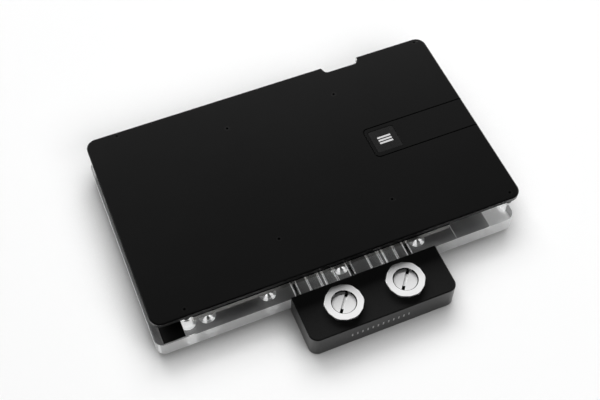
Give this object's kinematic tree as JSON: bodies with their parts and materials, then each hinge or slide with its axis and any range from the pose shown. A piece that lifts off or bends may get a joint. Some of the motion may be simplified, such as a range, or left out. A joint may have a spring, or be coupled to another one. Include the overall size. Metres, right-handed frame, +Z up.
{
  "type": "liquid cooling cold plate",
  "caption": "Full-cover liquid cooling block: clear acrylic manifold under a finned metal cold plate, black backplate on bosses, and a side port terminal with screw plugs",
  "frame": {"origin": "middle of the outline in plan, at the underside of the terminal, on which the part rests", "axes": "+X along the backplate's length, +Y from the terminal to the backplate's notched rear edge, +Z up from the terminal's underside to the backplate's outer face"},
  "size_m": [0.211, 0.16, 0.0218],
  "materials": {
    "black_anodised": "satin",
    "tile_gloss": "satin",
    "black_steel": "satin",
    "bright_steel": "satin",
    "nickel": "polished",
    "clear_acrylic": "gloss",
    "black_plastic": "matte",
    "jet_steel": "satin",
    "seal_rubber": "matte",
    "terminal_plastic": "satin",
    "plug_metal": "satin"
  },
  "bodies": {
    "root": {"backplate": "black_anodised", "emblem_tile": "tile_gloss", "backplate_screws": "black_steel", "corner_screws": "black_steel", "corner_standoff_front_left": "black_steel", "corner_standoff_front_right": "black_steel", "corner_standoff_rear_left": "black_steel", "corner_standoff_rear_right": "black_steel", "cold_plate": "nickel", "cold_plate_screws": "bright_steel", "clear_block": "clear_acrylic", "slot_cover": "black_plastic", "jet_plate": "jet_steel", "main_seal": "seal_rubber", "terminal": "terminal_plastic", "terminal_seal_left": "seal_rubber", "terminal_seal_right": "seal_rubber", "terminal_screw_left": "black_steel", "terminal_screw_middle": "black_steel", "terminal_screw_right": "black_steel", "plug_left": "plug_metal", "plug_right": "plug_metal", "plug_seal_left": "seal_rubber", "plug_seal_right": "seal_rubber"}
  },
  "joints": []
}
